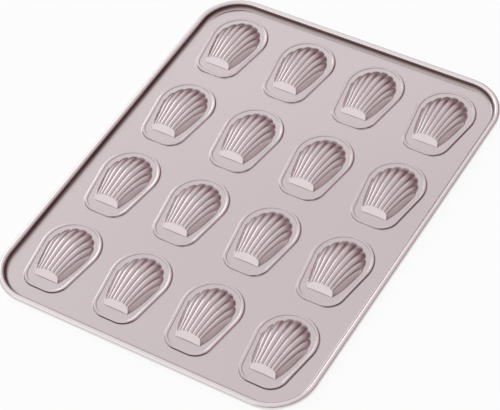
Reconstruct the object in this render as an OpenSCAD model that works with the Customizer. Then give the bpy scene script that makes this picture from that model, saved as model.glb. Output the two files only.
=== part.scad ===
// Madeleine pan, lying as photographed: flat side down, fluted shells standing up.
// One pressed steel sheet, drawn as its pressed regions, with a steel hoop rolled into its edge.
// Millimetres. X runs across the pan, Y along it, Z up from the surface it lies on.

/* [Sheet] */
// Thickness of the pressed steel sheet
sheet = 0.8; // [0.5:0.1:1]

/* [Layout] */
// Distance between moulds across the pan
pitch_across = 65; // [60:1:68]
// Distance between moulds along the pan
pitch_along = 83.5; // [79:0.5:86]
// Overall width over the rolled edge
pan_width = 280; // [278:1:310]
// Overall length over the rolled edge
pan_length = 355; // [352:1:390]
// Middle of the mould grid from the middle of the pan, towards the fan ends
grid_shift = 2.8; // [0:0.1:4]

/* [Rolled edge] */
// Outside diameter of the rolled bead
bead_diameter = 5.1; // [4.4:0.1:6]
// Height of the bead's middle above the deck
bead_lift = 3; // [3:0.1:4]
// Radius of the hollow between the deck and the rolled bead
rim_fillet = 2.8; // [2:0.1:3]
// Outside radius of the pan's corners
corner_radius = 36.5; // [28:0.5:40]
// How far the sheet is rolled round the wire, from its inner side
roll_turn = 250; // [200:5:290]

/* [Mould surround] */
// Half width of the raised outline round each mould
surround_half = 24.7; // [23.5:0.1:26]
// Middle of the round end of the outline, from the mould's origin
surround_middle = 8; // [6:0.5:9]
// Lean of the outline's straight sides in degrees
surround_lean = 9; // [5:0.5:11]
// Radius of the outline's two corners at the hinge end
surround_corner = 14; // [11:0.5:16]
// Straight end of the outline, from the mould's origin
surround_end = 36.9; // [35:0.1:38]
// Height of the raised outline above the deck
ridge_height = 1.6; // [1.2:0.1:2.2]
// Width of the raised outline's top
ridge_width = 1.9; // [1.6:0.1:2.4]
// Height of the flat pad inside the outline, above the deck
pad_height = 0.9; // [0.4:0.1:1]

/* [Shell mould] */
// Straight hinge edge, from the mould's origin
hinge_edge = 26.8; // [24:0.1:28]
// Half width of the shell at its hinge edge
hinge_half = 10.8; // [9:0.1:11.5]
// Slope of the hinge wall in degrees
hinge_slope = 47; // [40:1:60]
// Middle of the round fan end, from the mould's origin
fan_middle = 4; // [2:0.5:5]
// Half width of the shell at its widest
side_half = 19.4; // [18:0.1:20]
// Half width of the fan over the cusps between flutes
fan_half = 18.2; // [17:0.1:18.6]
// Reach of the fan's cusps past the fan's middle
fan_reach = 22; // [19:0.1:22.6]
// Outward bow of the shell's long sides
side_bulge = 2.6; // [1:0.1:3]
// Drop from the shell's middle to its last furrow, as a share of the body's height
flank_drop = 0.47; // [0.35:0.01:0.55]
// Bulge of each flute past the cusps at the fan end
scallop = 1.3; // [0.6:0.1:1.5]
// Height of the shell's body above the pad at the hinge wall
body_height = 4.9; // [4:0.1:6]
// Rise of the body from the hinge wall to the crown, as a share of its height
body_rise = 0.3; // [0:0.05:0.5]
// Height of each flute above the furrows beside it
flute_height = 1.1; // [0.6:0.1:1.5]
// Height of the plain outermost flutes, as a share of the others'
last_share = 0.35; // [0.2:0.05:0.6]
// Where along the shell its crown starts to fall towards the fan, from 0 to 1
fall_from = 0.35; // [0.25:0.05:0.5]

/* [Hidden] */

// Rows and columns of moulds
rows = 4;
cols = 4;
// Whole flutes across a shell, and how finely its sheet is drawn
flutes = 9;
flute_steps = 3;
steps_long = 5;
round_steps = 72;

across = flutes * flute_steps;
last_flute = (flutes - 2) / 2;
fan_spread = 78;

bead_radius = bead_diameter / 2;
wire_radius = bead_radius - sheet;
bead_level = sheet + bead_lift;
path_corner = corner_radius - bead_radius;
path_x = pan_width / 2 - corner_radius;
path_y = pan_length / 2 - corner_radius;
deck_inset = bead_diameter + rim_fillet;

pad_top = sheet + pad_height;
ridge_top = sheet + ridge_height;
// Sloping steps of the outline, and how far the hollow under it stays inside them
step_run = 0.7;
step_wall = 0.45;
ridge_out = -step_run / 2;
ridge_in = ridge_out - ridge_width;
ridge_mid = (ridge_out + ridge_in) / 2;
below = 1;
corner_y = surround_corner - surround_end;
corner_x = (surround_half - surround_corner + (corner_y - surround_middle) * sin(surround_lean))
    / cos(surround_lean);
side_from = [surround_half * cos(surround_lean), surround_middle - surround_half * sin(surround_lean)];
side_to = [corner_x + surround_corner * cos(surround_lean),
    corner_y - surround_corner * sin(surround_lean)];
outline_steps = 24;
joint_step = 0.02;
joint_lap = 0.4;

function mould_at(row, col) = [(col - (cols + 1) / 2) * pitch_across,
    ((rows + 1) / 2 - row) * pitch_along + grid_shift, 0];

// Shell form: s counts flutes from the middle, t runs from the hinge wall (0) to the fan edge (1)
function share(s) = 2 * s / flutes;
function outward(s) = s < 0 ? -1 : 1;
function past_fan(s) = max(0, min(1, abs(s) - last_flute));
function lobe(s) = min(1, abs(cos(180 * s)) / cos(90 / flute_steps)) * (past_fan(s) > 0 ? last_share : 1);
function fan_turn(s) = max(-1, min(1, s / last_flute)) * fan_spread;
function fan_x(s) = fan_half * sin(fan_turn(s)) * (1 - past_fan(s))
    + outward(s) * side_half * past_fan(s);
function fan_y(s) = fan_reach * cos(fan_turn(s)) * (1 - past_fan(s));
function fan_swell(s) = 1 + scallop * lobe(s) / max(1, norm([fan_x(s), fan_y(s)]));
function edge_x(s) = fan_x(s) * fan_swell(s);
function edge_y(s) = fan_middle + fan_y(s) * fan_swell(s);
function arch(s) = (1 - flank_drop * pow(min(1, abs(s) / last_flute), 2.2))
    * pow(1 - past_fan(s), 0.8);
function wall_run(s) = (body_height * arch(s) + flute_height * lobe(s)) / tan(hinge_slope);
function fall(t) = pow(max(0, t - fall_from) / (1 - fall_from), 3);
function body(s, t) = body_height * arch(s) * (1 + body_rise * sin(180 * pow(t, 0.8)))
    * (1 - fall(t));
function form_z(s, t) = abs(s) == flutes / 2 || t == 1 ? 0 :
    body(s, t) + flute_height * lobe(s) * sqrt(1 - pow(t, 6)) * (1 + 0.4 * t);
function spread(t) = pow(t, 1.3);
function bow(s, t) = outward(s) * side_bulge * pow(abs(share(s)), 8) * sin(180 * pow(t, 0.8))
    * (1 - 0.25 * t);
function hinge_x(s) = hinge_half * sin(90 * share(s));
function form_x(s, t) = hinge_x(s) * (1 - spread(t)) + edge_x(s) * spread(t) + bow(s, t);
function form_y(s, t) = (wall_run(s) - hinge_edge) * (1 - t) + edge_y(s) * t;

// Drawn points: row 0 is the hinge edge, the rows after it run up the shell
function flute_at(col) = flutes * (col / across - 0.5);
function form(row, col) = let (s = flute_at(col), t = max(0, row - 1) / steps_long)
    row == 0 ? [hinge_x(s), -hinge_edge, 0] : [form_x(s, t), form_y(s, t), form_z(s, t)];

// Point numbers: the hinge edge without its two ends, then whole rows
first_row = across - 1;
skin_count = first_row + (steps_long + 1) * (across + 1);
function point_no(row, col) =
    row > 0 ? first_row + (row - 1) * (across + 1) + col :
    col == 0 ? first_row :
    col == across ? first_row + across : col - 1;
function skin_points(level) = concat(
    [for (col = [1 : across - 1]) form(0, col) + [0, 0, level]],
    [for (row = [1 : steps_long + 1]) for (col = [0 : across]) form(row, col) + [0, 0, level]]);
function pair(a, b, c, d, left) = left ? [[a, b, c], [a, c, d]] : [[a, b, d], [b, c, d]];
function distinct(tri) = tri[0] != tri[1] && tri[1] != tri[2] && tri[2] != tri[0];
function skin_faces() = [for (row = [0 : steps_long]) for (col = [0 : across - 1])
    for (tri = pair(point_no(row, col), point_no(row, col + 1), point_no(row + 1, col + 1),
        point_no(row + 1, col), col < across / 2))
    if (distinct(tri)) tri];
function facing_down(tri) = [tri[0] + skin_count, tri[1] + skin_count, tri[2] + skin_count];
function facing_up(tri) = [tri[2], tri[1], tri[0]];
function ring_cells() = concat(
    [for (col = [0 : across]) [0, col]],
    [for (row = [2 : steps_long + 1]) [row, across]],
    [for (col = [across - 1 : -1 : 0]) [steps_long + 1, col]],
    [for (row = [steps_long : -1 : 2]) [row, 0]]);
function band_faces(ring) = [for (i = [0 : len(ring) - 1])
    let (a = ring[i], b = ring[(i + 1) % len(ring)])
    for (tri = [[a, b, b + skin_count], [a, b + skin_count, a + skin_count]]) tri];

module shell_form() {
    ring = [for (cell = ring_cells()) point_no(cell[0], cell[1])];
    polyhedron(
        points = concat(skin_points(pad_top), skin_points(pad_top - sheet)),
        faces = concat([for (tri = skin_faces()) facing_up(tri)],
            [for (tri = skin_faces()) facing_down(tri)],
            band_faces(ring)),
        convexity = 8);
}

module shell_mould(row, col) {
    color([0.79, 0.73, 0.72])
        translate(mould_at(row, col))
            shell_form();
}

// Opening of the deck under a shell
module shell_opening() {
    translate([0, 0, -below])
        linear_extrude(height = pad_top + 2 * below)
            polygon([for (cell = ring_cells())
                let (p = form(cell[0], cell[1])) [p[0], p[1]]]);
}

// Outline of the surround as a polygon, moved outward by away
function arc_points(mid, radius, from, to) = [for (i = [0 : outline_steps])
    let (turn = from + (to - from) * i / outline_steps)
    mid + radius * [cos(turn), sin(turn)]];
function outline(away) = concat(
    arc_points([0, surround_middle], surround_half + away, -surround_lean, 180 + surround_lean),
    arc_points([-corner_x, corner_y], surround_corner + away, 180 + surround_lean, 270),
    arc_points([corner_x, corner_y], surround_corner + away, 270, 360 - surround_lean));

// Sweeps a section round the surround: its x is outward from the outline, its y is height
module round_surround(mid, radius, from, to) {
    translate([mid[0], mid[1], 0])
        rotate([0, 0, from])
            rotate_extrude(angle = to - from, $fn = round_steps)
                translate([radius, 0])
                    children();
}

// Straights lap the curves a little, a hair inside and below them
module along_surround(start, heading, length) {
    translate([start[0], start[1], 0])
        rotate([0, 0, heading])
            translate([-joint_step, joint_lap, -joint_step])
                rotate([90, 0, 0])
                    linear_extrude(height = length + 2 * joint_lap)
                        children();
}

module surround_half_sweep() {
    round_surround([corner_x, corner_y], surround_corner, 270, 360 - surround_lean)
        children();
    along_surround(side_from, -surround_lean, norm(side_from - side_to))
        children();
}

module surround_sweep() {
    round_surround([0, surround_middle], surround_half, -surround_lean, 180 + surround_lean)
        children();
    surround_half_sweep()
        children();
    mirror([1, 0, 0])
        surround_half_sweep()
            children();
    along_surround([corner_x, -surround_end], -90, 2 * corner_x)
        children();
}

// The steps run on past the flat faces that they meet
function outer_step(height) = step_run / 2 - step_run * height / ridge_height;
function inner_step(height) = ridge_in - step_run * (ridge_height - height) / ridge_height;

module ridge_section() {
    sunk = -sheet / 2;
    polygon([[inner_step(sunk), sheet + sunk], [outer_step(sunk), sheet + sunk],
        [ridge_out, ridge_top], [ridge_in, ridge_top]]);
}

module groove_section() {
    polygon([[inner_step(0) + step_wall, 0], [inner_step(0) + step_wall, -below],
        [outer_step(-below) - step_wall, -below],
        [ridge_out - step_wall, ridge_height], [ridge_in + step_wall, ridge_height]]);
}

// Flat deck up to the hollow at its edge
module deck_plate() {
    linear_extrude(height = sheet) {
        square([2 * path_x, pan_length - 2 * deck_inset], center = true);
        square([pan_width - 2 * deck_inset, 2 * path_y], center = true);
        for (x = [-path_x, path_x])
            for (y = [-path_y, path_y])
                translate([x, y])
                    circle(r = corner_radius - deck_inset, $fn = round_steps);
    }
}

module deck() {
    color([0.8, 0.75, 0.74])
        difference() {
            union() {
                deck_plate();
                for (row = [1 : rows])
                    for (col = [1 : cols])
                        translate(mould_at(row, col)) {
                            surround_sweep()
                                ridge_section();
                            linear_extrude(height = pad_top)
                                polygon(outline(ridge_mid));
                        }
            }
            for (row = [1 : rows])
                for (col = [1 : cols])
                    translate(mould_at(row, col)) {
                        surround_sweep()
                            groove_section();
                        translate([0, 0, -below])
                            linear_extrude(height = pad_height + below)
                                polygon(outline(ridge_mid));
                        shell_opening();
                    }
        }
}

// Sweeps a section round the pan's edge: its x is outward from the bead's middle
module rim_sweep() {
    for (side = [0 : 3]) {
        long = side % 2 == 0;
        half_run = long ? path_y : path_x;
        reach = long ? path_x : path_y;
        rotate([0, 0, 90 * side]) {
            translate([reach + path_corner, half_run, 0])
                rotate([90, 0, 0])
                    linear_extrude(height = 2 * half_run)
                        children();
            translate([reach, half_run, 0])
                rotate_extrude(angle = 90, $fn = round_steps)
                    translate([path_corner, 0])
                        children();
        }
    }
}

// Sheet from the deck's edge, up the hollow and round the wire
module rim_section() {
    hollow = [-bead_radius - rim_fillet, sheet + rim_fillet];
    difference() {
        translate([hollow[0], 0])
            square([rim_fillet + sheet, sheet + rim_fillet]);
        translate(hollow)
            circle(r = rim_fillet, $fn = round_steps);
        translate([hollow[0], 0])
            difference() {
                square([rim_fillet + sheet + below, sheet + rim_fillet]);
                translate([0, sheet + rim_fillet])
                    circle(r = rim_fillet + sheet, $fn = round_steps);
            }
    }
    translate([-bead_radius, sheet + rim_fillet])
        square([sheet, bead_lift - rim_fillet]);
    translate([0, bead_level])
        difference() {
            circle(r = bead_radius, $fn = round_steps);
            circle(r = wire_radius, $fn = round_steps);
            polygon([[0, 0], [-2 * bead_radius, 0], [-2 * bead_radius, -2 * bead_radius],
                2 * bead_radius * [cos(180 - roll_turn), sin(180 - roll_turn)]]);
        }
}

module rolled_rim() {
    color([0.78, 0.72, 0.71])
        rim_sweep()
            rim_section();
}

// Steel hoop inside the rolled edge
module rim_wire() {
    color([0.55, 0.55, 0.56])
        rim_sweep()
            translate([0, bead_level])
                circle(r = wire_radius, $fn = round_steps);
}

module shell_mould_r1_c1() shell_mould(1, 1);
module shell_mould_r1_c2() shell_mould(1, 2);
module shell_mould_r1_c3() shell_mould(1, 3);
module shell_mould_r1_c4() shell_mould(1, 4);
module shell_mould_r2_c1() shell_mould(2, 1);
module shell_mould_r2_c2() shell_mould(2, 2);
module shell_mould_r2_c3() shell_mould(2, 3);
module shell_mould_r2_c4() shell_mould(2, 4);
module shell_mould_r3_c1() shell_mould(3, 1);
module shell_mould_r3_c2() shell_mould(3, 2);
module shell_mould_r3_c3() shell_mould(3, 3);
module shell_mould_r3_c4() shell_mould(3, 4);
module shell_mould_r4_c1() shell_mould(4, 1);
module shell_mould_r4_c2() shell_mould(4, 2);
module shell_mould_r4_c3() shell_mould(4, 3);
module shell_mould_r4_c4() shell_mould(4, 4);

deck();
rolled_rim();
rim_wire();
shell_mould_r1_c1();
shell_mould_r1_c2();
shell_mould_r1_c3();
shell_mould_r1_c4();
shell_mould_r2_c1();
shell_mould_r2_c2();
shell_mould_r2_c3();
shell_mould_r2_c4();
shell_mould_r3_c1();
shell_mould_r3_c2();
shell_mould_r3_c3();
shell_mould_r3_c4();
shell_mould_r4_c1();
shell_mould_r4_c2();
shell_mould_r4_c3();
shell_mould_r4_c4();
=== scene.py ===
"""Looks of the madeleine pan: a satin coated steel sheet of fluted shells on a white studio table."""
import math
import bmesh
import bpy
import numpy as np
from mathutils import Matrix, Vector
from mathutils.geometry import tessellate_polygon


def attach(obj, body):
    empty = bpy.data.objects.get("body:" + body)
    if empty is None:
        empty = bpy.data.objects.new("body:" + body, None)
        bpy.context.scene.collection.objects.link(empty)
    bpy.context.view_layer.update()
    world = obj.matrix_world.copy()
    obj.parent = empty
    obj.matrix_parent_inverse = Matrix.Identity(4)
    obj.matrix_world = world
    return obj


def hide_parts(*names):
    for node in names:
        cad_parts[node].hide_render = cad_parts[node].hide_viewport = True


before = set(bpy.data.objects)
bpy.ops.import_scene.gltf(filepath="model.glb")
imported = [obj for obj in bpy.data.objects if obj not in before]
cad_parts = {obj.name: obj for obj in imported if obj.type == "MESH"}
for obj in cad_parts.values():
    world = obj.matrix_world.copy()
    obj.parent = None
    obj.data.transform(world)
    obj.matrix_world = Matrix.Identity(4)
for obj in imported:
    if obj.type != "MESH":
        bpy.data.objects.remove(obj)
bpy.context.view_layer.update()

# Lengths of the pan are in millimetres and angles in degrees, with the same sizes as the solids
MM = 0.001

# Sheet and grid of moulds
SHEET = 0.8
ROWS, COLUMNS = 4, 4
PITCH_X, PITCH_Y = 65.0, 83.5
GRID_SHIFT = 2.8

# Pan and its rolled edge: a hollow rises from the deck and turns over into the bead
PAN_W, PAN_L = 280.0, 355.0
CORNER = 36.5
BEAD_R = 2.55
BEAD_LIFT = 3.0
ROLL_TURN = 250.0
RIM_FILLET = 2.8
WALL_INSET = 2 * BEAD_R
DECK_INSET = WALL_INSET + RIM_FILLET

# Outline pressed round each shell: a round fan end, leaning sides and two rounded corners
SURROUND_HALF, SURROUND_MIDDLE, SURROUND_LEAN = 24.7, 8.0, 9.0
SURROUND_CORNER, SURROUND_END = 14.0, 36.9
RIDGE_H, RIDGE_W, PAD_H = 1.6, 1.9, 0.9
PAD_TOP = SHEET + PAD_H

# Flanks of the outline, by distance outward from its line; rounding them makes each of them longer
STEP_RUN, ROUNDED = 0.7, 1.5
OUTER_REACH = ROUNDED / 2 * STEP_RUN
INNER_STEP = STEP_RUN * (RIDGE_H - PAD_H) / RIDGE_H
INNER_MIDDLE = -STEP_RUN / 2 - RIDGE_W - INNER_STEP / 2
INNER_FOOT = INNER_MIDDLE - ROUNDED / 2 * INNER_STEP
INNER_TOP = INNER_MIDDLE + ROUNDED / 2 * INNER_STEP
RIDGE_CREST = -1.2
PAD_MARGIN, DECK_MARGIN = 0.4, 1.2

# Plan of a shell, from the middle of its mould: straight hinge edge, scalloped fan.
# Here and below, a power under 1 makes a curve full early, and one over 1 makes it full late.
HINGE_EDGE, HINGE_HALF, HINGE_SLOPE = 26.8, 10.8, 47.0
FAN_MIDDLE, FAN_HALF, FAN_REACH, SIDE_HALF = 4.0, 18.2, 22.0, 19.4
FLUTES, LAST_FLUTE, FAN_SPREAD = 9, 3.5, 78.0
SCALLOP, FAN_POWER = 1.3, 1.3

# Outward bow of a shell's sides: kept to the outermost flutes, fullest towards the hinge
SIDE_BULGE, BULGE_FADE = 2.6, 0.25
BULGE_SIDE_POWER, BULGE_LENGTH_POWER = 8, 0.8

# Height of a shell: its body is arched across, rises, and falls to the fan edge
BODY_H, BODY_RISE, RISE_POWER = 4.9, 0.3, 0.9
FLANK_DROP, ARCH_POWER, FLANK_POWER = 0.47, 2.2, 0.8
FALL_FROM, FALL_POWER = 0.42, 3

# Flutes on the body: they grow towards the fan edge and close at it, and the outermost are lower
FLUTE_H, FLUTE_POWER, FLUTE_GROWTH, FLUTE_END_POWER = 0.85, 0.5, 0.4, 6
OUTERMOST_SHARE = 0.35

# Fineness of the meshes, in steps, and the angle past which an edge stays crisp
POINTS_PER_FLUTE, SHELL_ROWS, WALL_ROWS = 8, 64, 8
FAN_STEPS, END_STEPS, PAN_CORNER_STEPS = 64, 20, 24
INNER_RINGS, CREST_RINGS, OUTER_RINGS = 7, 3, 10
HOLLOW_STEPS, BEAD_STEPS, BORE_STEPS = 14, 60, 40
CRISP_ANGLE, SHELL_CRISP_ANGLE = 38.0, 70.0
SAME_POINT = 1e-6
MERGE_METRES, SLIVER_METRES = 1e-7, 1e-8

# How metallic the coating and the wire are
METAL = 1.0

# Coating: a sprayed film over steel, paler on the bead, with painted shade dark deep in the hollow beside it
COAT_COLOUR = (0.62, 0.556, 0.565, 1)
BEAD_COLOUR = (0.76, 0.71, 0.72, 1)
# Painted shade in the hollow: its colour, and how far it fades up the bead and onto the deck
HOLLOW_SHADE_COLOUR = (0.12, 0.07, 0.068, 1)
SHADE_FADE_ON_BEAD, SHADE_FADE_ON_DECK = 0.6, 2.8
COAT_ROUGH, CLOUD_ROUGH = 0.2, 0.04
CLOUD_SCALE, CLOUD_DETAIL = 30.0, 3.0
SPECK_SCALE, SPECK_DETAIL = 2600.0, 2.0
GRAIN_STRENGTH, GRAIN_METRES = 0.15, 0.00002

# Hoop of bare drawn wire
WIRE_COLOUR = (0.5, 0.5, 0.51, 1)
WIRE_ROUGH, STREAK_ROUGH = 0.3, 0.2
STREAK_SCALE, STREAK_DETAIL = 400.0, 3.0

# White table, in metres, and how much of it the camera and the reflections see as plain white
TABLE_HALF = 4
PAPER = (0.9, 0.9, 0.9, 1)
WHITE = (1, 1, 1, 1)
WHITE_SHARE = 0.9

# Brightness of the studio room: its mean, and what each axis of a direction adds
ROOM_MEAN, ROOM_X, ROOM_Y, ROOM_Z = 0.71, -0.24, -0.05, 0.2
ROOM_DARK, ROOM_BRIGHT = 0.04, 1.35
HORIZON_LOW, HORIZON_HIGH = -0.1, 0.3
ROOM_SHADE = (1.0, 0.68, 0.72, 1)

# Two dimmer walls of the room: where each is, how soft its sides are and how high it reaches
FRONT_WALL = {"heading": (0.62, -0.785), "fades_in": 0.7, "full_from": 0.9, "full_to": 0.1, "top": 0.3}
FRONT_DIMMING = 0.9
BACK_WALL = {"heading": (0.25, 0.968), "fades_in": 0.75, "full_from": 0.95, "full_to": 0.25, "top": 0.6}
BACK_DIMMING = 0.55
BACK_SHADE = (1.0, 0.6, 0.68, 1)

# Camera: its angles, its place in mould pitches from a point on the deck, and its lens
CAMERA_TURN, CAMERA_LIFT, CAMERA_ROLL = 38.26, 49.49, -9.1
CAMERA_BACK, CAMERA_RIGHT, CAMERA_UP = 24.11, -0.102, -0.201
AIM_Y = 0.0425
SENSOR = 36
FOCAL_PIXELS, PICTURE_PIXELS = 1991, 500
FARTHEST_METRES = 20

# Sockets of the colour mix and the shader mix, by number because their names repeat
MIX_SHARE, MIX_FIRST, MIX_SECOND, MIX_RESULT = 0, 6, 7, 2
SHADER_SHARE, SHADER_FIRST, SHADER_SECOND = 0, 1, 2


def mould_at(row, col):
    """Middle of a mould; row 1 is at the fan end and column 1 at the left."""
    return (col - (COLUMNS + 1) / 2) * PITCH_X, ((ROWS + 1) / 2 - row) * PITCH_Y + GRID_SHIFT


def shell_surface(s, t):
    """Point on a shell over its pad: s counts flutes from the middle, t runs from hinge wall to fan."""
    side = np.where(s < 0, -1.0, 1.0)
    across = 2 * s / FLUTES
    inner = np.clip(np.abs(s) / LAST_FLUTE, 0, 1)
    past = np.clip(np.abs(s) - LAST_FLUTE, 0, 1)
    lobe = np.abs(np.cos(np.pi * s)) ** FLUTE_POWER * np.where(past > 0, OUTERMOST_SHARE, 1.0)

    turn = np.radians(np.clip(s / LAST_FLUTE, -1, 1) * FAN_SPREAD)
    fan_x = FAN_HALF * np.sin(turn) * (1 - past) + side * SIDE_HALF * past
    fan_y = FAN_REACH * np.cos(turn) * (1 - past)
    swell = 1 + SCALLOP * lobe / np.maximum(1, np.hypot(fan_x, fan_y))
    edge_x = fan_x * swell
    edge_y = FAN_MIDDLE + fan_y * swell

    arch = (1 - FLANK_DROP * inner ** ARCH_POWER) * (1 - past) ** FLANK_POWER
    rise = 1 + BODY_RISE * np.sin(np.pi * t ** RISE_POWER)
    fall = 1 - (np.clip(t - FALL_FROM, 0, 1) / (1 - FALL_FROM)) ** FALL_POWER
    body = BODY_H * arch * rise * fall
    closing = np.sqrt(np.clip(1 - t ** FLUTE_END_POWER, 0, 1))
    flute = FLUTE_H * lobe * closing * (1 + FLUTE_GROWTH * t)

    wall_run = (BODY_H * arch + FLUTE_H * lobe) / math.tan(math.radians(HINGE_SLOPE))
    spread = t ** FAN_POWER
    bow = side * SIDE_BULGE * np.abs(across) ** BULGE_SIDE_POWER * np.sin(np.pi * t ** BULGE_LENGTH_POWER)
    hinge_x = HINGE_HALF * np.sin(np.pi / 2 * across)
    x = hinge_x * (1 - spread) + edge_x * spread + bow * (1 - BULGE_FADE * t)
    y = (wall_run - HINGE_EDGE) * (1 - t) + edge_y * t
    return x, y, body + flute


def shell_points():
    """Rows of points from the hinge edge up its wall and over the shell to the fan edge."""
    s = np.linspace(-FLUTES / 2, FLUTES / 2, FLUTES * POINTS_PER_FLUTE + 1)
    t = np.linspace(0, 1, SHELL_ROWS + 1)
    over = np.stack(shell_surface(*np.meshgrid(s, t)), -1)
    over[:, [0, -1], 2] = 0
    over[-1, :, 2] = 0
    top = over[0]
    foot = top.copy()
    foot[:, 1] = -HINGE_EDGE
    foot[:, 2] = 0
    wall = [foot + (top - foot) * share for share in np.linspace(0, 1, WALL_ROWS + 1)[:-1]]
    return np.concatenate([wall, over])


def new_mesh(name, points, faces, material, crisp_angle=CRISP_ANGLE):
    """Mesh from points in millimetres, its doubled points merged and its edges past an angle kept crisp."""
    mesh = bpy.data.meshes.new(name)
    mesh.from_pydata([tuple(MM * float(c) for c in p) for p in points], [], [tuple(f) for f in faces])
    work = bmesh.new()
    work.from_mesh(mesh)
    bmesh.ops.remove_doubles(work, verts=work.verts, dist=MERGE_METRES)
    bmesh.ops.dissolve_degenerate(work, edges=work.edges, dist=SLIVER_METRES)
    bmesh.ops.recalc_face_normals(work, faces=work.faces)
    bmesh.ops.triangulate(work, faces=work.faces, quad_method="SHORT_EDGE")
    work.to_mesh(mesh)
    work.free()
    mesh.shade_smooth()
    mesh.set_sharp_from_angle(angle=math.radians(crisp_angle))
    mesh.materials.append(material)
    return mesh


def place(mesh, node, at=(0, 0)):
    """Shows a mesh in place of one CAD node."""
    piece = bpy.data.objects.new("look_" + node, mesh)
    bpy.context.scene.collection.objects.link(piece)
    piece.location = Vector((*at, 0)) * MM
    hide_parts(node)
    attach(piece, "root")


def grid_faces(rows, cols):
    """Four-sided faces between neighbouring points of a grid."""
    firsts = [row * cols + col for row in range(rows - 1) for col in range(cols - 1)]
    return [(i, i + 1, i + cols + 1, i + cols) for i in firsts]


def grid_ring(rows, cols):
    """Numbers of a grid's border points, in order round it."""
    grid = np.arange(rows * cols).reshape(rows, cols)
    return np.concatenate([grid[0], grid[1:, -1], grid[-1, -2::-1], grid[-2:0:-1, 0]]).tolist()


def band(first, second):
    """Faces between two closed rings that have as many points."""
    return list(zip(first, second, second[1:] + second[:1], first[1:] + first[:1]))


def sheet_faces(upper, edges, count):
    """Faces of a closed sheet: the upper ones, the same count points lower, and a band down each edge."""
    faces = upper + [tuple(i + count for i in face[::-1]) for face in upper]
    for ring in edges:
        faces += band(ring, [i + count for i in ring])
    return faces


def shell_mesh(points, material):
    """One shell, a sheet thick, with its foot on the pad."""
    rows, cols = points.shape[:2]
    top = points.reshape(-1, 3) + np.array([0, 0, PAD_TOP])
    under = top - np.array([0, 0, SHEET])
    faces = sheet_faces(grid_faces(rows, cols), [grid_ring(rows, cols)], len(top))
    return new_mesh("shell", np.vstack([top, under]), faces, material, SHELL_CRISP_ANGLE)


def foot_line(points):
    """Where a shell meets its pad, without the doubled points at its corners."""
    rows, cols = points.shape[:2]
    flat = points.reshape(-1, 3)[:, :2]
    kept = []
    for i in grid_ring(rows, cols):
        if not kept or np.hypot(*(flat[i] - kept[-1])) > SAME_POINT:
            kept.append(flat[i])
    if np.hypot(*(kept[0] - kept[-1])) <= SAME_POINT:
        kept.pop()
    return np.array(kept)


def arc(middle, radius, start, stop, steps):
    """Points of an arc, from one angle to another."""
    turn = np.radians(np.linspace(start, stop, steps + 1))
    return np.stack([middle[0] + radius * np.cos(turn), middle[1] + radius * np.sin(turn)], 1)


def surround_line(away):
    """Outline round a shell, moved outward by away."""
    lean = math.radians(SURROUND_LEAN)
    corner_y = SURROUND_CORNER - SURROUND_END
    drift = (corner_y - SURROUND_MIDDLE) * math.sin(lean)
    corner_x = (SURROUND_HALF - SURROUND_CORNER + drift) / math.cos(lean)
    fan, end = SURROUND_HALF + away, SURROUND_CORNER + away
    return np.vstack([
        arc((0, SURROUND_MIDDLE), fan, -SURROUND_LEAN, 180 + SURROUND_LEAN, FAN_STEPS),
        arc((-corner_x, corner_y), end, 180 + SURROUND_LEAN, 270, END_STEPS),
        arc((corner_x, corner_y), end, 270, 360 - SURROUND_LEAN, END_STEPS)])


def ease(share):
    """Share from 0 to 1, rounded at both ends."""
    share = np.clip(share, 0, 1)
    return share * share * (3 - 2 * share)


def ridge_level(away):
    """Height above the deck of the pressed outline, by distance outward from its line."""
    outer = ease((OUTER_REACH - away) / (2 * OUTER_REACH))
    inner = ease((away - INNER_FOOT) / (INNER_TOP - INNER_FOOT))
    return np.where(away > RIDGE_CREST, RIDGE_H * outer, PAD_H + (RIDGE_H - PAD_H) * inner)


def ridge_rings():
    """Distances from the outline's line at which the deck has a ring of points, close over both flanks."""
    return np.concatenate([
        [INNER_FOOT - PAD_MARGIN],
        np.linspace(INNER_FOOT, INNER_TOP, INNER_RINGS),
        np.linspace(RIDGE_CREST, -OUTER_REACH, CREST_RINGS),
        np.linspace(-OUTER_REACH, OUTER_REACH, OUTER_RINGS)[1:],
        [DECK_MARGIN]])


def pan_line(inset):
    """Line round the pan, moved in from its outer edge by inset."""
    x, y = PAN_W / 2 - CORNER, PAN_L / 2 - CORNER
    corners = ((x, y, 0), (-x, y, 90), (-x, -y, 180), (x, -y, 270))
    return np.vstack([arc((cx, cy), CORNER - inset, start, start + 90, PAN_CORNER_STEPS)
                      for cx, cy, start in corners])


def with_level(line, level):
    """Plan points with their height."""
    return np.column_stack([line, np.broadcast_to(level, len(line))])


def deck_mesh(foot, material):
    """Deck with a raised outline and a pad round each shell, as a closed sheet."""
    points, faces, edges, outlines = [], [], [], []

    def add_line(line, level):
        first = len(points)
        points.extend(with_level(line, level))
        return list(range(first, first + len(line)))

    def fill(loops):
        numbers = [i for loop in loops for i in loop]
        plan = [[Vector((points[i][0], points[i][1], 0)) for i in loop] for loop in loops]
        faces.extend(tuple(numbers[i] for i in tri) for tri in tessellate_polygon(plan))

    for row in range(1, ROWS + 1):
        for col in range(1, COLUMNS + 1):
            at = np.array(mould_at(row, col))
            hole = add_line(foot + at, PAD_TOP)
            rings = [add_line(surround_line(away) + at, SHEET + ridge_level(away))
                     for away in ridge_rings()]
            for inner, outer in zip(rings, rings[1:]):
                faces.extend(band(inner, outer))
            fill([rings[0], hole])
            edges.append(hole)
            outlines.append(rings[-1])
    rim = add_line(pan_line(DECK_INSET), SHEET)
    fill([rim] + outlines)
    edges.append(rim)

    under = [point - np.array([0, 0, SHEET]) for point in points]
    return new_mesh("deck", points + under, sheet_faces(faces, edges, len(points)), material)


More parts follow.
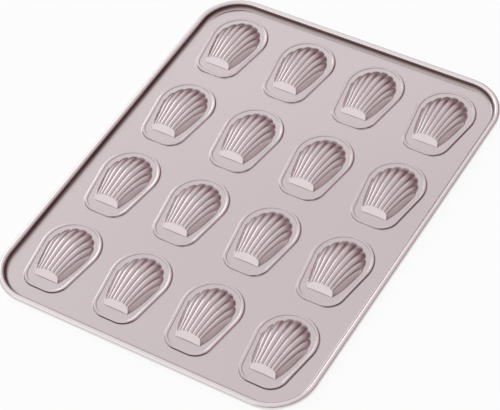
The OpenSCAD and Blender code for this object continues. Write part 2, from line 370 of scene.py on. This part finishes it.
def rim_section():
    """Section of the edge: distance outward from the bead's middle, and height."""
    hollow = (-BEAD_R - RIM_FILLET, SHEET + RIM_FILLET)
    bead = (0, SHEET + BEAD_LIFT)
    end = 180 - ROLL_TURN
    return np.vstack([
        arc(hollow, RIM_FILLET, 270, 360, HOLLOW_STEPS),
        arc(bead, BEAD_R, 180, end, BEAD_STEPS),
        arc(bead, BEAD_R - SHEET, end, 180, BORE_STEPS),
        arc(hollow, RIM_FILLET + SHEET, 360, 270, HOLLOW_STEPS)])


def edge_inset(x, y):
    """How far a point of the pan's first quarter lies in from the outer edge."""
    past_x, past_y = x - (PAN_W / 2 - CORNER), y - (PAN_L / 2 - CORNER)
    return CORNER - math.hypot(max(past_x, 0), max(past_y, 0)) - min(max(past_x, past_y), 0)


def painted_shade_share(inset):
    """Share of painted shade: 1 deepest in the hollow, fading quickly up the bead and slowly onto the deck.
    """
    if inset < WALL_INSET:
        share = 1 - (WALL_INSET - inset) / SHADE_FADE_ON_BEAD
    else:
        share = 1 - (inset - WALL_INSET) / SHADE_FADE_ON_DECK
    return max(0.0, min(1.0, share))


def rim_mesh(material):
    """Hollow and rolled bead, marked for the material with where each of them is; the hollow mark places
    painted shade.
    """
    loops = [with_level(pan_line(BEAD_R - out), level) for out, level in rim_section()]
    count = len(loops[0])
    rings = [list(range(first, first + count)) for first in range(0, len(loops) * count, count)]
    faces = [face for near, far in zip(rings, rings[1:] + rings[:1]) for face in band(near, far)]
    mesh = new_mesh("rim", np.vstack(loops), faces, material)
    # The hollow mark holds the share of painted shade, and the bead mark the paler bead
    hollow = mesh.attributes.new("hollow", "FLOAT", "POINT")
    bead = mesh.attributes.new("bead", "FLOAT", "POINT")
    for point, dark, pale in zip(mesh.vertices, hollow.data, bead.data):
        inset = edge_inset(abs(point.co.x) / MM, abs(point.co.y) / MM)
        dark.value = painted_shade_share(inset)
        pale.value = 1.0 if inset < WALL_INSET - SHADE_FADE_ON_BEAD / 2 else 0.0
    return mesh


class Value:
    """A shader socket that arithmetic can be written with. Each operation adds its Math node."""

    def __init__(self, nodes, socket):
        self.nodes = nodes
        self.socket = socket

    def output(self, name):
        """Another output of the same node."""
        return Value(self.nodes, self.socket.node.outputs[name])

    def maths(self, operation, first, second):
        """Result of one Math node."""
        return self.nodes.add("ShaderNodeMath", {"operation": operation}, {0: first, 1: second})

    def __add__(self, other):
        return self.maths("ADD", self, other)

    def __radd__(self, other):
        return self.maths("ADD", other, self)

    def __sub__(self, other):
        return self.maths("SUBTRACT", self, other)

    def __rsub__(self, other):
        return self.maths("SUBTRACT", other, self)

    def __mul__(self, other):
        return self.maths("MULTIPLY", self, other)

    def __rmul__(self, other):
        return self.maths("MULTIPLY", other, self)

    def __truediv__(self, other):
        return self.maths("DIVIDE", self, other)

    def __rtruediv__(self, other):
        return self.maths("DIVIDE", other, self)

    def at_least(self, lowest):
        """The same value, or lowest where it falls below that."""
        return self.maths("MAXIMUM", self, lowest)

    def at_most(self, highest):
        """The same value, or highest where it rises above that."""
        return self.maths("MINIMUM", self, highest)

    def ramp(self, low, high):
        """0 up to low, 1 from high on, and even between them."""
        return ((self - low) / (high - low)).at_least(0.0).at_most(1.0)


class Nodes:
    """The nodes of one material or world."""

    def __init__(self, owner):
        owner.use_nodes = True
        self.tree = owner.node_tree
        self.tree.nodes.clear()

    def add(self, kind, settings=None, sockets=None, output=0):
        """Adds a node, sets its settings and then its sockets' values or links, and gives one output."""
        node = self.tree.nodes.new(kind)
        for name, setting in (settings or {}).items():
            setattr(node, name, setting)
        for name, value in (sockets or {}).items():
            if isinstance(value, Value):
                self.tree.links.new(value.socket, node.inputs[name])
            else:
                node.inputs[name].default_value = value
        return Value(self, node.outputs[output]) if node.outputs else None

    def noise(self, where, scale, detail):
        """Fine or broad mottling, from 0 to 1."""
        return self.add("ShaderNodeTexNoise", {"noise_dimensions": "3D"},
                        {"Vector": where, "Scale": scale, "Detail": detail}, "Fac")

    def mark(self, name):
        """A mark that the mesh carries at its points."""
        return self.add("ShaderNodeAttribute", {"attribute_name": name}, output="Fac")

    def blend(self, share, first, second):
        """First colour, giving way to the second as share rises."""
        return self.add("ShaderNodeMix", {"data_type": "RGBA"},
                        {MIX_SHARE: share, MIX_FIRST: first, MIX_SECOND: second}, MIX_RESULT)

    def mix(self, share, first, second):
        """First shader, giving way to the second as share rises."""
        return self.add("ShaderNodeMixShader", None,
                        {SHADER_SHARE: share, SHADER_FIRST: first, SHADER_SECOND: second})


def coating(name, on_rim=False):
    """Satin rose-champagne non-stick coating, finely mottled like a sprayed film; on the rim it is paler on
    the bead and has painted shade in the hollow.
    """
    material = bpy.data.materials.new(name)
    nodes = Nodes(material)
    where = nodes.add("ShaderNodeTexCoord", output="Object")
    speck = nodes.noise(where, SPECK_SCALE, SPECK_DETAIL)
    cloud = nodes.noise(where, CLOUD_SCALE, CLOUD_DETAIL)
    grain = nodes.add("ShaderNodeBump", None,
                      {"Strength": GRAIN_STRENGTH, "Distance": GRAIN_METRES, "Height": speck}, "Normal")
    colour = COAT_COLOUR
    if on_rim:
        # Paler bead, then painted shade darkening the hollow
        bead = nodes.blend(nodes.mark("bead"), COAT_COLOUR, BEAD_COLOUR)
        colour = nodes.blend(nodes.mark("hollow"), bead, HOLLOW_SHADE_COLOUR)
    surface = nodes.add("ShaderNodeBsdfPrincipled", None, {
        "Base Color": colour, "Metallic": METAL,
        "Roughness": COAT_ROUGH + CLOUD_ROUGH * (cloud - 0.5), "Normal": grain}, "BSDF")
    nodes.add("ShaderNodeOutputMaterial", None, {"Surface": surface})
    return material


def drawn_steel():
    """Bare drawn steel, seen only at the open edge of the roll."""
    material = bpy.data.materials.new("drawn_steel")
    nodes = Nodes(material)
    streak = nodes.noise(nodes.add("ShaderNodeTexCoord", output="Object"), STREAK_SCALE, STREAK_DETAIL)
    surface = nodes.add("ShaderNodeBsdfPrincipled", None, {
        "Base Color": WIRE_COLOUR, "Metallic": METAL,
        "Roughness": WIRE_ROUGH + STREAK_ROUGH * streak}, "BSDF")
    nodes.add("ShaderNodeOutputMaterial", None, {"Surface": surface})
    return material


def white_paper():
    """White table: plain white to the camera and in reflections, with a little of the pan's shadow."""
    material = bpy.data.materials.new("white_table")
    nodes = Nodes(material)
    ray = nodes.add("ShaderNodeLightPath", output="Is Camera Ray")
    seen = (ray + ray.output("Is Glossy Ray") + ray.output("Is Transmission Ray")).at_most(1.0)
    paper = nodes.add("ShaderNodeBsdfDiffuse", None, {"Color": PAPER}, "BSDF")
    white = nodes.add("ShaderNodeEmission", None, {"Color": WHITE, "Strength": 1.0}, "Emission")
    nodes.add("ShaderNodeOutputMaterial", None, {"Surface": nodes.mix(seen * WHITE_SHARE, paper, white)})
    return material


def white_table():
    """Floor that the pan lies on."""
    far = TABLE_HALF
    mesh = bpy.data.meshes.new("white_table")
    mesh.from_pydata([(-far, -far, 0), (far, -far, 0), (far, far, 0), (-far, far, 0)], [], [(0, 1, 2, 3)])
    mesh.materials.append(white_paper())
    floor = bpy.data.objects.new("white_table", mesh)
    bpy.context.scene.collection.objects.link(floor)


def wall_share(x, y, z, heading, fades_in, full_from, full_to, top):
    """How much of a dim wall lies in a direction: 1 in its middle, fading to its sides and upward."""
    return (x * heading[0] + y * heading[1]).ramp(fades_in, full_from) * (1 - z.ramp(full_to, top))


def light_room():
    """Studio room: brightest high up on the pan's left, dimmer at the horizon and on two of its walls."""
    world = bpy.data.worlds.new("studio")
    bpy.context.scene.world = world
    nodes = Nodes(world)
    heading = nodes.add("ShaderNodeTexCoord", output="Generated")
    x = nodes.add("ShaderNodeSeparateXYZ", None, {"Vector": heading}, "X")
    y, z = x.output("Y"), x.output("Z")
    level = (ROOM_MEAN + x * ROOM_X + y * ROOM_Y + z * ROOM_Z) * z.ramp(HORIZON_LOW, HORIZON_HIGH)
    level = level.at_least(ROOM_DARK).at_most(ROOM_BRIGHT)
    front = wall_share(x, y, z, **FRONT_WALL)
    back = wall_share(x, y, z, **BACK_WALL)
    level = level * (1 - FRONT_DIMMING * front) * (1 - BACK_DIMMING * back)
    tone = nodes.blend(level.ramp(ROOM_DARK, 1.0), ROOM_SHADE, WHITE)
    tone = nodes.blend(back, tone, BACK_SHADE)
    glow = nodes.add("ShaderNodeBackground", None, {"Color": tone, "Strength": level}, "Background")
    nodes.add("ShaderNodeOutputWorld", None, {"Surface": glow})


def softbox(name, heading, distance, size, strength):
    """Rectangular lamp in that direction from the pan, turned to face it, in metres."""
    lamp = bpy.data.lights.new(name, "AREA")
    lamp.shape = "RECTANGLE"
    lamp.size, lamp.size_y = size
    lamp.energy = strength * size[0] * size[1] * math.pi
    box = bpy.data.objects.new(name, lamp)
    bpy.context.scene.collection.objects.link(box)
    box.location = Vector(heading).normalized() * distance
    box.rotation_euler = (-box.location).to_track_quat("-Z", "Y").to_euler()


def aim_camera():
    """Camera at the photograph's place, in front of the pan and to its right."""
    turn, lift, roll = map(math.radians, (CAMERA_TURN, CAMERA_LIFT, CAMERA_ROLL))
    back = Vector((math.sin(turn) * math.cos(lift), -math.cos(turn) * math.cos(lift), math.sin(lift)))
    right = Vector((math.cos(turn), math.sin(turn), 0))
    up = back.cross(right)
    data = bpy.data.cameras.new("camera")
    data.sensor_width = SENSOR
    data.lens = FOCAL_PIXELS / PICTURE_PIXELS * SENSOR
    data.clip_end = FARTHEST_METRES
    camera = bpy.data.objects.new("camera", data)
    bpy.context.scene.collection.objects.link(camera)
    axes = (math.cos(roll) * right + math.sin(roll) * up, math.cos(roll) * up - math.sin(roll) * right, back)
    pose = Matrix(axes).transposed().to_4x4()
    aim = Vector((0, AIM_Y * PITCH_X, SHEET)) * MM
    pose.translation = PITCH_X * MM * (CAMERA_BACK * back + CAMERA_RIGHT * right + CAMERA_UP * up) + aim
    camera.matrix_world = pose
    bpy.context.scene.camera = camera


# The pan
rose_coating = coating("rose_coating")
points_of_shell = shell_points()
shell = shell_mesh(points_of_shell, rose_coating)
for row in range(1, ROWS + 1):
    for col in range(1, COLUMNS + 1):
        place(shell, f"shell_mould_r{row}_c{col}", mould_at(row, col))
place(deck_mesh(foot_line(points_of_shell), rose_coating), "deck")
place(rim_mesh(coating("rose_coating_rim", on_rim=True)), "rolled_rim")
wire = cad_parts["rim_wire"].data.materials
wire.clear()
wire.append(drawn_steel())

# Studio
white_table()
light_room()
softbox("box_left", heading=(-0.8, 0.33, 0.5), distance=1.6, size=(0.8, 0.6), strength=1.3)
softbox("box_back", heading=(-0.46, 0.78, 0.46), distance=1.4, size=(0.6, 1.0), strength=0.12)
softbox("box_front", heading=(-0.40, -0.79, 0.455), distance=1.6, size=(1.0, 0.7), strength=0.3)
aim_camera()
bpy.context.scene.view_settings.view_transform = "Standard"
